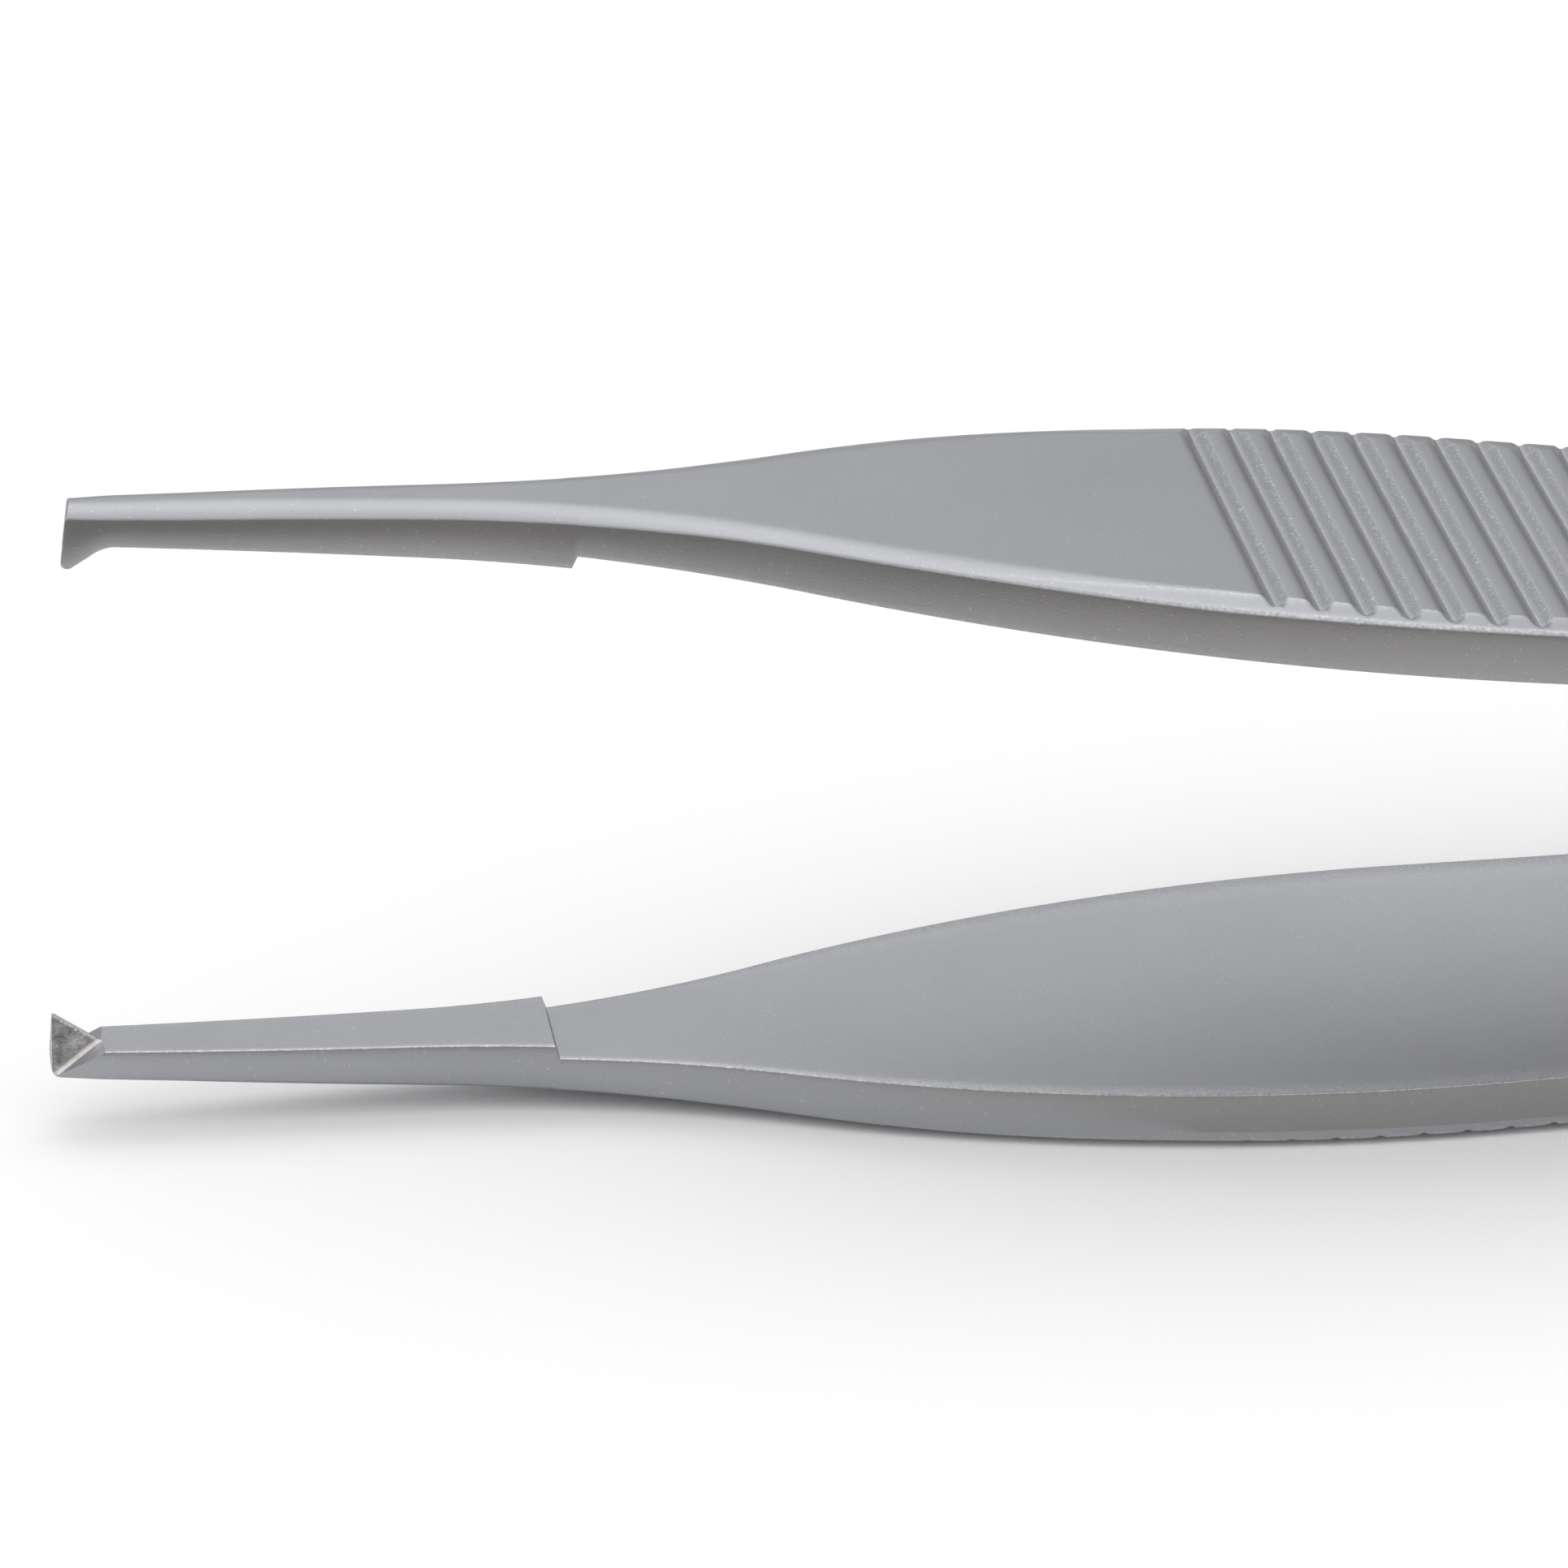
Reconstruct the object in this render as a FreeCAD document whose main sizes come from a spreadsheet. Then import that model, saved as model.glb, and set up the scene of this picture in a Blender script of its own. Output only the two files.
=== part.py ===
import FreeCAD, Part
import math
import os
import Sketcher

# Thumb forceps with one by two teeth: two spring arms welded face to face at the tail.
# Each arm is drawn as the upper one, tip at X = 0, tail at X = overallLength, with the
# plane midway between the arms at Z = 0 and the width along Y.

doc = FreeCAD.newDocument("ThumbForceps")
sheet = doc.addObject("Spreadsheet::Sheet", "sizes")

# Driving sizes in millimetres and degrees
drivingSizes = (
    ("overallLength", 120, "tip to tail"),
    ("tipHalfGap", 6.19, "mid-plane to the platform, at the tip"),
    ("tipThickness", 0.78, "platform to outer face, at the tip"),
    ("tipWidth", 1.45, "across the tip"),
    ("platformLength", 12.4, "tip to the step"),
    ("platformEndHalfGap", 5.84, "mid-plane to the platform, at the step"),
    ("platformRadius", 340, "hollow of the platform along its length"),
    ("stepHeight", 0.28, "how far the platform stands proud"),
    ("stepRun", 0.12, "slope of the step, along the arm"),
    ("gapStation", 38, "tip to the place where gripHalfGap is measured"),
    ("gripHalfGap", 4.465, "mid-plane to the inner face, at gapStation"),
    ("gripThickness", 1.3, "inner to outer face, along the grip"),
    ("gripFront", 28, "tip to the flat part of the grip"),
    ("gripMargin", 2, "last groove's end to the thinning behind the grip"),
    ("springLength", 38, "thin part of the arm, up to the tail's end"),
    ("springThickness", 0.95, "thin part and tail of each arm"),
    ("springRadius", 210, "bend of the inner face into the weld"),
    ("weldLength", 10.81, "faces that lie on each other at the tail"),
    ("jawTaper", 2.86, "plan angle of the jaw's sides"),
    ("jawLength", 8.3, "tip to the start of the waist"),
    ("waistRadius", 22, "plan curve from the jaw to the grip"),
    ("gripRadius", 35.3, "plan curve at the front of the grip"),
    ("tailTaper", 1.44, "plan angle of the sides behind the grip"),
    ("tailWidth", 8.8, "across the tail, between the sides' ends"),
    ("tailCornerRadius", 2.8, "plan round of the tail's corners"),
    ("rimRadius", 0.62, "round along the outer edges"),
    ("grooveStart", 26.75, "tip to the first grip groove"),
    ("groovePitch", 1, "from groove to groove"),
    ("grooveCount", 34, "grooves on each arm"),
    ("grooveDepth", 0.2, "below the grip face"),
    ("grooveAngle", 110, "between the groove's walls"),
    ("doubleTipRadius", 0.06, "outer corner of the end face, arm with the pair"),
    ("singleTipRadius", 0.22, "outer corner of the end face, arm with the middle tooth"),
    ("doubleToothHeight", 0.56, "pair of teeth, above the platform"),
    ("doubleToothAngle", 36, "rear slope of the pair"),
    ("doubleToothRadius", 0.16, "point of the pair, seen from the side"),
    ("doubleRootRadius", 0.4, "root of the pair"),
    ("notchDepth", 0.68, "notch between the pair, below the platform at the tip"),
    ("notchAngle", 60, "between the walls of the notch"),
    ("singleToothHeight", 0.66, "middle tooth, above the platform"),
    ("singleToothAngle", 31.4, "slope of the middle tooth's ridge"),
    ("singleToothRadius", 0.04, "point of the middle tooth, seen from the side"),
    ("singleRootRadius", 0.1, "root of the middle tooth"),
    ("ridgeWidth", 0.05, "flat along the ridge of the middle tooth"),
    ("rampAngle", 30, "slope of the wall behind each flank cut"),
    ("flankRun", 0.9, "flank cut's travel towards the tip, to the side of the jaw"),
    ("flankDrop", 0.6, "flank cut's travel away from the mid-plane meanwhile"),
)
for row, (alias, value, note) in enumerate(drivingSizes, 1):
    sheet.set("A%d" % row, alias)
    sheet.set("B%d" % row, str(value))
    sheet.set("C%d" % row, note)
    sheet.setAlias("B%d" % row, alias)
doc.recompute()

# Grip and spring slope to the mid-plane by the angle at which a straight line through
# the gap station meets the bend that runs into the weld.
armRun = "(sizes.overallLength - sizes.weldLength - sizes.gapStation)"
bendSpan = "(2 * sizes.springRadius - sizes.gripHalfGap)"
armSlope = "(2 * atan(({0} - sqrt({0} ^ 2 - {1} * sizes.gripHalfGap)) / {1}))".format(
    armRun, bendSpan)
gripEnd = "(sizes.grooveStart + sizes.groovePitch * sizes.grooveCount + sizes.gripMargin)"
# Each cutter reaches this many times as far out as what it cuts.
overshoot = 3


def size(alias):
    return float(sheet.get(alias))


def angle(alias):
    return math.radians(size(alias))


def armAngle():
    run = size("overallLength") - size("weldLength") - size("gapStation")
    span = 2 * size("springRadius") - size("gripHalfGap")
    return 2 * math.atan((run - math.sqrt(run ** 2 - span * size("gripHalfGap"))) / span)


def originPlane(body, role):
    return [f for f in body.Origin.OriginFeatures if f.Role == role][0]


class Outline:
    # A closed chain of lines and arcs in one sketch, drawn from point to point.

    def __init__(self, body, name, role):
        self.sketch = body.newObject("Sketcher::SketchObject", name)
        self.sketch.AttachmentSupport = (originPlane(body, role), "")
        self.sketch.MapMode = "FlatFace"
        self.pieces = []
        self.here = None

    def start(self, x, y):
        self.here = FreeCAD.Vector(x, y, 0)
        return self

    def line(self, x, y):
        end = FreeCAD.Vector(x, y, 0)
        index = self.sketch.addGeometry(Part.LineSegment(self.here, end), False)
        self.pieces.append((index, 1, 2))
        self.here = end
        return index

    def arc(self, midX, midY, x, y):
        end = FreeCAD.Vector(x, y, 0)
        curve = Part.Arc(self.here, FreeCAD.Vector(midX, midY, 0), end)
        index = self.sketch.addGeometry(curve, False)
        first = self.sketch.getPoint(index, 1)
        forward = first.distanceToPoint(self.here) < first.distanceToPoint(end)
        self.pieces.append((index, 1, 2) if forward else (index, 2, 1))
        self.here = end
        return index

    def close(self, smooth):
        # Joins each piece to the next one, tangent where the joint's number is in smooth.
        for number, (index, first, last) in enumerate(self.pieces):
            follower = self.pieces[(number + 1) % len(self.pieces)]
            kind = "Tangent" if number in smooth else "Coincident"
            self.sketch.addConstraint(
                Sketcher.Constraint(kind, index, last, follower[0], follower[1]))

    def fix(self, number, atEnd, x=None, y=None):
        # Holds a piece's first or last point at formulas measured from the origin.
        index, first, last = self.pieces[number]
        point = last if atEnd else first
        here = self.sketch.getPoint(index, point)
        for kind, formula, value in (("DistanceX", x, here.x), ("DistanceY", y, here.y)):
            if formula is not None:
                self.bind(Sketcher.Constraint(kind, -1, 1, index, point, value), formula)

    def centre(self, number, y):
        index = self.pieces[number][0]
        height = self.sketch.getPoint(index, 3).y
        self.bind(Sketcher.Constraint("DistanceY", -1, 1, index, 3, height), y)

    def radius(self, number, formula):
        index = self.pieces[number][0]
        value = self.sketch.Geometry[index].Radius
        self.bind(Sketcher.Constraint("Radius", index, value), formula)

    def tilt(self, number, formula):
        # Sets a line's angle, taken from the sketch's X axis to its direction of drawing.
        index = self.pieces[number][0]
        line = self.sketch.Geometry[index]
        run = line.EndPoint - line.StartPoint
        value = math.atan2(run.y, run.x)
        self.bind(Sketcher.Constraint("Angle", index, value), formula)

    def relate(self, kind, *places):
        self.sketch.addConstraint(Sketcher.Constraint(kind, *places))

    def bind(self, constraint, formula):
        number = self.sketch.addConstraint(constraint)
        self.sketch.setExpression("Constraints[%d]" % number, formula)


def innerHeight(x):
    # The straight part of the inner face, carried on in both directions.
    return size("gripHalfGap") + math.tan(armAngle()) * (size("gapStation") - x)


def outerHeight(x, thickness):
    return innerHeight(x) + thickness / math.cos(armAngle())


def addSideProfile(body, tooth):
    # Side view of the arm: tooth, platform, step, bowed inner face, weld face at the
    # tail, and the outer face back to the tip.
    tilt = armAngle()
    slope = math.tan(tilt)
    tipGap = size("tipHalfGap")
    tipTop = tipGap + size("tipThickness")
    pointRadius = size(tooth + "ToothRadius")
    rootRadius = size(tooth + "RootRadius")
    flank = angle(tooth + "ToothAngle")
    toothFoot = tipGap - size(tooth + "ToothHeight")
    outline = Outline(body, "SideProfile", "XZ_Plane").start(0, tipTop)

    outline.line(0, toothFoot + pointRadius)
    bisector = math.pi * 1.25 + flank / 2
    pointY = toothFoot + pointRadius
    flankX = pointRadius * (1 + math.sin(flank))
    flankY = pointY - pointRadius * math.cos(flank)
    outline.arc(pointRadius * (1 + math.cos(bisector)), pointY + pointRadius * math.sin(bisector),
                flankX, flankY)
    rootX = flankX + (tipGap - flankY) / math.tan(flank)
    tangentRun = rootRadius * math.tan(flank / 2)
    outline.line(rootX - tangentRun * math.cos(flank), tipGap - tangentRun * math.sin(flank))
    outline.arc(rootX + tangentRun - rootRadius * math.sin(flank / 2),
                tipGap - rootRadius * (1 - math.cos(flank / 2)), rootX + tangentRun, tipGap)

    stepX = size("platformLength")
    stepY = size("platformEndHalfGap")
    sag = stepX ** 2 / (8 * size("platformRadius"))
    outline.arc(stepX / 2, (tipGap + stepY) / 2 + sag, stepX, stepY)
    recessX = stepX + size("stepRun")
    recessY = stepY + size("stepHeight")
    outline.line(recessX, recessY)

    gapX = size("gapStation")
    gapY = size("gripHalfGap")
    middle = (recessX + gapX) / 2
    bow = (innerHeight(recessX) - recessY) / 4
    outline.arc(middle, innerHeight(middle) - bow, gapX, gapY)
    bend = size("springRadius")
    tailX = size("overallLength")
    weldX = tailX - size("weldLength")
    outline.line(weldX - bend * math.sin(tilt), bend * (1 - math.cos(tilt)))
    outline.arc(weldX - bend * math.sin(tilt / 2), bend * (1 - math.cos(tilt / 2)), weldX, 0)
    tailY = size("springThickness")
    outline.line(tailX, 0)
    outline.line(tailX, tailY)
    outline.line(weldX, tailY)
    outerBend = bend - tailY
    outline.arc(weldX - outerBend * math.sin(tilt / 2), bend - outerBend * math.cos(tilt / 2),
                weldX - outerBend * math.sin(tilt), bend - outerBend * math.cos(tilt))
    thinX = tailX - size("springLength")
    thickX = (size("grooveStart") + size("groovePitch") * size("grooveCount")
              + size("gripMargin"))
    thinY = outerHeight(thinX, tailY)
    thickY = outerHeight(thickX, size("gripThickness"))
    swell = (size("gripThickness") - tailY) / 8
    outline.line(thinX, thinY)
    outline.arc(thinX * 0.75 + thickX * 0.25, thinY * 0.75 + thickY * 0.25 - swell,
                (thinX + thickX) / 2, (thinY + thickY) / 2)
    outline.arc(thinX * 0.25 + thickX * 0.75, thinY * 0.25 + thickY * 0.75 + swell,
                thickX, thickY)
    frontX = size("gripFront")
    frontY = outerHeight(frontX, size("gripThickness"))
    outline.line(frontX, frontY)
    arch = (frontY + slope * frontX - tipTop) / 4
    outline.arc(frontX / 2, frontY + slope * frontX / 2 - arch, 0, tipTop)

    (tipLine, toothPoint, toothFlank, toothRoot, platform, step, recess, innerLine,
     innerBend, weldFace, tailEnd, tailTop, outerBendArc, springLine, swellRear,
     swellFront, gripLine, crown) = range(18)
    outline.close((tipLine, toothPoint, toothFlank, toothRoot, recess, innerLine, innerBend,
                   tailTop, outerBendArc, springLine, swellRear, swellFront, gripLine))
    index = [piece[0] for piece in outline.pieces]
    outline.fix(tipLine, False, None, "sizes.tipHalfGap + sizes.tipThickness")
    outline.relate("PointOnObject", index[tipLine], 1, -2)
    outline.relate("Vertical", index[tipLine])
    outline.radius(toothPoint, "sizes.%sToothRadius" % tooth)
    outline.centre(toothPoint, "sizes.tipHalfGap - sizes.{0}ToothHeight + sizes.{0}ToothRadius"
                   .format(tooth))
    outline.tilt(toothFlank, "sizes.%sToothAngle * 1 deg" % tooth)
    outline.radius(toothRoot, "sizes.%sRootRadius" % tooth)
    outline.radius(platform, "sizes.platformRadius")
    tipPoint = outline.sketch.addGeometry(Part.Point(FreeCAD.Vector(0, tipGap, 0)), True)
    outline.relate("PointOnObject", tipPoint, 1, -2)
    outline.bind(Sketcher.Constraint("DistanceY", -1, 1, tipPoint, 1, tipGap),
                 "sizes.tipHalfGap")
    outline.relate("PointOnObject", tipPoint, 1, index[platform])
    outline.fix(platform, True, "sizes.platformLength", "sizes.platformEndHalfGap")
    outline.fix(step, True, "sizes.platformLength + sizes.stepRun",
                "sizes.platformEndHalfGap + sizes.stepHeight")
    outline.fix(recess, True, "sizes.gapStation", "sizes.gripHalfGap")
    outline.radius(innerBend, "sizes.springRadius")
    outline.fix(weldFace, False, "sizes.overallLength - sizes.weldLength")
    outline.relate("Horizontal", index[weldFace])
    outline.fix(weldFace, True, "sizes.overallLength")
    outline.relate("PointOnObject", index[weldFace], 2, -1)
    outline.relate("Vertical", index[tailEnd])
    outline.fix(tailEnd, True, None, "sizes.springThickness")
    outline.relate("Horizontal", index[tailTop])
    outline.relate("Coincident", index[outerBendArc], 3, index[innerBend], 3)
    outline.relate("Parallel", index[springLine], index[innerLine])
    outline.fix(springLine, True, "sizes.overallLength - sizes.springLength")
    outline.relate("Equal", index[swellRear], index[swellFront])
    outline.fix(swellFront, True, gripEnd,
                "sizes.gripHalfGap + (sizes.gapStation - {0}) * tan({1})"
                " + sizes.gripThickness / cos({1})".format(gripEnd, armSlope))
    outline.relate("Parallel", index[gripLine], index[innerLine])
    outline.fix(gripLine, True, "sizes.gripFront")
    return outline.sketch, outline.sketch.Geometry[index[crown]]


def addPlanCut(body):
    # Plan view: what is cut from the blank on the +Y side of jaw, waist, grip and tail.
    tipHalf = size("tipWidth") / 2
    tailHalf = size("tailWidth") / 2
    length = size("overallLength")
    jaw = angle("jawTaper")
    taper = angle("tailTaper")
    waist = size("waistRadius")
    grip = size("gripRadius")
    corner = size("tailCornerRadius")

    waistX = size("jawLength")
    waistY = tipHalf + waistX * math.tan(jaw)
    waistCentreX = waistX - waist * math.sin(jaw)
    waistCentreY = waistY + waist * math.cos(jaw)
    # The grip's centre lies under the tapered side, at the two radii from the waist's.
    fall = math.tan(taper)
    drop = tailHalf + fall * length - grip / math.cos(taper) - waistCentreY
    square = 1 + fall ** 2
    linear = -2 * (waistCentreX + drop * fall)
    constant = waistCentreX ** 2 + drop ** 2 - (waist + grip) ** 2
    gripCentreX = (-linear + math.sqrt(linear ** 2 - 4 * square * constant)) / (2 * square)
    gripCentreY = tailHalf + fall * (length - gripCentreX) - grip / math.cos(taper)
    share = waist / (waist + grip)
    meetX = waistCentreX + share * (gripCentreX - waistCentreX)
    meetY = waistCentreY + share * (gripCentreY - waistCentreY)
    lean = math.asin((gripCentreX - waistCentreX) / (waist + grip))

    outline = Outline(body, "PlanCut", "XY_Plane").start(0, tipHalf)
    outline.line(waistX, waistY)
    half = (jaw + lean) / 2
    outline.arc(waistCentreX + waist * math.sin(half), waistCentreY - waist * math.cos(half),
                meetX, meetY)
    half = (taper - lean) / 2
    outline.arc(gripCentreX + grip * math.sin(half), gripCentreY + grip * math.cos(half),
                gripCentreX + grip * math.sin(taper), gripCentreY + grip * math.cos(taper))
    cornerX = length - corner
    cornerY = tailHalf + fall * corner - corner / math.cos(taper)
    outline.line(cornerX + corner * math.sin(taper), cornerY + corner * math.cos(taper))
    outline.arc(cornerX + corner * math.sqrt(0.5), cornerY + corner * math.sqrt(0.5),
                length, cornerY)
    top = tipHalf + grip
    outline.line(length, top)
    outline.line(0, top)
    outline.line(0, tipHalf)

    jawSide, waistArc, gripArc, tailSide, cornerArc, endUp, across, endDown = range(8)
    outline.close((jawSide, waistArc, gripArc, tailSide, cornerArc))
    index = [piece[0] for piece in outline.pieces]
    outline.relate("PointOnObject", index[jawSide], 1, -2)
    outline.fix(jawSide, False, None, "sizes.tipWidth / 2")
    outline.tilt(jawSide, "sizes.jawTaper * 1 deg")
    outline.fix(jawSide, True, "sizes.jawLength")
    outline.radius(waistArc, "sizes.waistRadius")
    outline.radius(gripArc, "sizes.gripRadius")
    outline.tilt(tailSide, "-sizes.tailTaper * 1 deg")
    outline.radius(cornerArc, "sizes.tailCornerRadius")
    outline.fix(cornerArc, True, "sizes.overallLength")
    tailPoint = outline.sketch.addGeometry(
        Part.Point(FreeCAD.Vector(length, tailHalf, 0)), True)
    outline.bind(Sketcher.Constraint("DistanceX", -1, 1, tailPoint, 1, length),
                 "sizes.overallLength")
    outline.bind(Sketcher.Constraint("DistanceY", -1, 1, tailPoint, 1, tailHalf),
                 "sizes.tailWidth / 2")
    outline.relate("PointOnObject", tailPoint, 1, index[tailSide])
    outline.relate("Vertical", index[endUp])
    outline.relate("Horizontal", index[across])
    outline.relate("Vertical", index[endDown])
    outline.bind(Sketcher.Constraint("Distance", index[endDown], top - tipHalf),
                 "sizes.gripRadius")
    return outline.sketch


def addBlank(body, tooth):
    # The side profile across the whole width, cut to the plan outline on both sides.
    profile, crown = addSideProfile(body, tooth)
    pad = body.newObject("PartDesign::Pad", "Blank")
    pad.Profile = profile
    pad.SideType = "Symmetric"
    pad.setExpression("Length", "sizes.gripRadius")
    plan = addPlanCut(body)
    doc.recompute()
    cut = body.newObject("PartDesign::Pocket", "Side")
    cut.Profile = plan
    cut.Type = "ThroughAll"
    cut.SideType = "Symmetric"
    doc.recompute()
    addMirror(body, cut)
    return crown


def addMirror(body, feature):
    mirror = body.newObject("PartDesign::Mirrored", "Mirror")
    mirror.Originals = [feature]
    mirror.MirrorPlane = (originPlane(body, "XZ_Plane"), [""])
    body.Tip = mirror
    doc.recompute()


def middleNormal(face):
    low, high, left, right = face.ParameterRange
    return face.normalAt((low + high) / 2, (left + right) / 2)


def roundEdges(body, name, radiusName, wanted):
    # Rounds each edge between an outer face and a face that wanted accepts.
    base = body.Tip
    names = []
    for number, edge in enumerate(base.Shape.Edges, 1):
        faces = base.Shape.ancestorsOfType(edge, Part.Face)
        outer = [face for face in faces if middleNormal(face).z > 0.5]
        other = [face for face in faces if wanted(face)]
        if outer and other:
            names.append("Edge%d" % number)
    fillet = body.newObject("PartDesign::Fillet", name)
    fillet.Base = (base, names)
    fillet.setExpression("Radius", "sizes." + radiusName)
    body.Tip = fillet
    doc.recompute()


def isTipEnd(face):
    return face.BoundBox.XMax < size("rimRadius") / 10 and middleNormal(face).x < -0.9


def isSide(face):
    return abs(middleNormal(face).z) < 0.05 and not isTipEnd(face)


def addGrooves(body):
    # V grooves straight across the grip, spaced along its flat outer face.
    outline = Outline(body, "Groove", "XZ_Plane")
    slope = armAngle()
    half = angle("grooveAngle") / 2
    rootX = size("grooveStart")
    rootY = outerHeight(rootX, size("gripThickness") - size("grooveDepth"))
    rise = overshoot * size("grooveDepth")
    reach = rise * math.tan(half)
    topX = rootX + rise * math.sin(slope)
    topY = rootY + rise * math.cos(slope)
    outline.start(rootX, rootY)
    outline.line(topX - reach * math.cos(slope), topY + reach * math.sin(slope))
    outline.line(topX + reach * math.cos(slope), topY - reach * math.sin(slope))
    outline.line(rootX, rootY)
    outline.close(())
    frontWall, mouth, rearWall = [piece[0] for piece in outline.pieces]
    end = FreeCAD.Vector(rootX + math.cos(slope), rootY - math.sin(slope), 0)
    along = outline.sketch.addGeometry(
        Part.LineSegment(FreeCAD.Vector(rootX, rootY, 0), end), True)
    outline.relate("Coincident", along, 1, frontWall, 1)
    outline.bind(Sketcher.Constraint("Angle", along, -slope), "-" + armSlope)
    outline.bind(Sketcher.Constraint("Distance", along, 1), "sizes.groovePitch")
    outline.relate("Parallel", mouth, along)
    outline.relate("Equal", frontWall, rearWall)
    outline.bind(Sketcher.Constraint("Angle", rearWall, 2, frontWall, 1, 2 * half),
                 "sizes.grooveAngle * 1 deg")
    outline.bind(Sketcher.Constraint("Distance", frontWall, 1, mouth, rise),
                 "%d * sizes.grooveDepth" % overshoot)
    outline.fix(0, False, "sizes.grooveStart",
                "sizes.gripHalfGap + (sizes.gapStation - sizes.grooveStart) * tan({0})"
                " + (sizes.gripThickness - sizes.grooveDepth) / cos({0})".format(armSlope))
    doc.recompute()
    groove = body.newObject("PartDesign::Pocket", "FirstGroove")
    groove.Profile = outline.sketch
    groove.Type = "ThroughAll"
    groove.SideType = "Symmetric"
    doc.recompute()
    row = body.newObject("PartDesign::LinearPattern", "Grooves")
    row.Originals = [groove]
    row.Direction = (outline.sketch, ["Axis0"])
    row.Mode = "Spacing"
    row.setExpression("Offset", "sizes.groovePitch")
    row.setExpression("Occurrences", "sizes.grooveCount")
    body.Tip = row
    doc.recompute()


def cutAlong(body, name, sketch, length, x, y, z):
    # Drives a sketched cutter in a straight slanting line, whose parts are formulas.
    before = body.Shape.Volume
    pocket = body.newObject("PartDesign::Pocket", name)
    pocket.Profile = sketch
    pocket.UseCustomVector = True
    for axis, formula in (("x", x), ("y", y), ("z", z)):
        pocket.setExpression("Direction." + axis, formula)
    pocket.setExpression("Length", length)
    doc.recompute()
    if body.Shape.Volume >= before:
        raise RuntimeError(name + " cuts nothing")
    return pocket


def addNotch(body):
    # The V between the pair of teeth, which runs out on the platform as the ridge of
    # the middle tooth does.
    half = angle("notchAngle") / 2
    top = size("tipHalfGap") + size("notchDepth")
    depth = size("notchDepth") + overshoot * size("doubleToothHeight")
    reach = depth * math.tan(half)
    outline = Outline(body, "Notch", "YZ_Plane").start(0, top)
    outline.line(-reach, top - depth)
    outline.line(reach, top - depth)
    outline.line(0, top)
    outline.close(())
    nearWall, mouth, farWall = [piece[0] for piece in outline.pieces]
    outline.relate("PointOnObject", nearWall, 1, -2)
    outline.fix(0, False, None, "sizes.tipHalfGap + sizes.notchDepth")
    outline.relate("Horizontal", mouth)
    outline.relate("Equal", nearWall, farWall)
    outline.bind(Sketcher.Constraint("Angle", nearWall, 1, farWall, 2, 2 * half),
                 "sizes.notchAngle * 1 deg")
    outline.fix(1, False, None,
                "sizes.tipHalfGap - %d * sizes.doubleToothHeight" % overshoot)
    doc.recompute()
    cutAlong(body, "NotchCut", outline.sketch, "%d * sizes.tipWidth" % overshoot,
             "1", "0", "-tan(sizes.singleToothAngle * 1 deg)")


def addFlankCuts(body):
    # Two slanting V cuts, from the foot of the ridge outwards and towards the tip, leave
    # the middle tooth standing.
    ridge = angle("singleToothAngle")
    ramp = angle("rampAngle")
    point = size("singleToothRadius")
    footX = (point * (1 + math.sin(ridge))
             + (size("singleToothHeight") - point * (1 - math.cos(ridge))) / math.tan(ridge))
    footY = size("tipHalfGap")
    rise = overshoot * size("singleToothHeight")
    outline = Outline(body, "FlankCut", "XZ_Plane").start(footX, footY)
    outline.line(footX - rise / math.tan(ridge), footY - rise)
    outline.line(footX + rise / math.tan(ramp), footY - rise)
    outline.line(footX, footY)
    outline.close(())
    flank, mouth, wall = [piece[0] for piece in outline.pieces]
    outline.fix(0, False, "sizes.singleToothRadius * (1 + sin(sizes.singleToothAngle * 1 deg))"
                " + (sizes.singleToothHeight - sizes.singleToothRadius"
                " * (1 - cos(sizes.singleToothAngle * 1 deg)))"
                " / tan(sizes.singleToothAngle * 1 deg)", "sizes.tipHalfGap")
    outline.bind(Sketcher.Constraint("Angle", flank, ridge - math.pi),
                 "sizes.singleToothAngle * 1 deg - 180 deg")
    outline.relate("Horizontal", mouth)
    outline.bind(Sketcher.Constraint("Angle", wall, math.pi - ramp),
                 "180 deg - sizes.rampAngle * 1 deg")
    outline.fix(1, False, None,
                "sizes.tipHalfGap - %d * sizes.singleToothHeight" % overshoot)
    outline.sketch.setExpression("AttachmentOffset.Base.z", "-sizes.ridgeWidth / 2")
    doc.recompute()
    cut = cutAlong(body, "FlankCutAway", outline.sketch, "sizes.tipWidth",
                   "-sizes.flankRun", "sizes.tipWidth / 2", "sizes.flankDrop")
    addMirror(body, cut)


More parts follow.
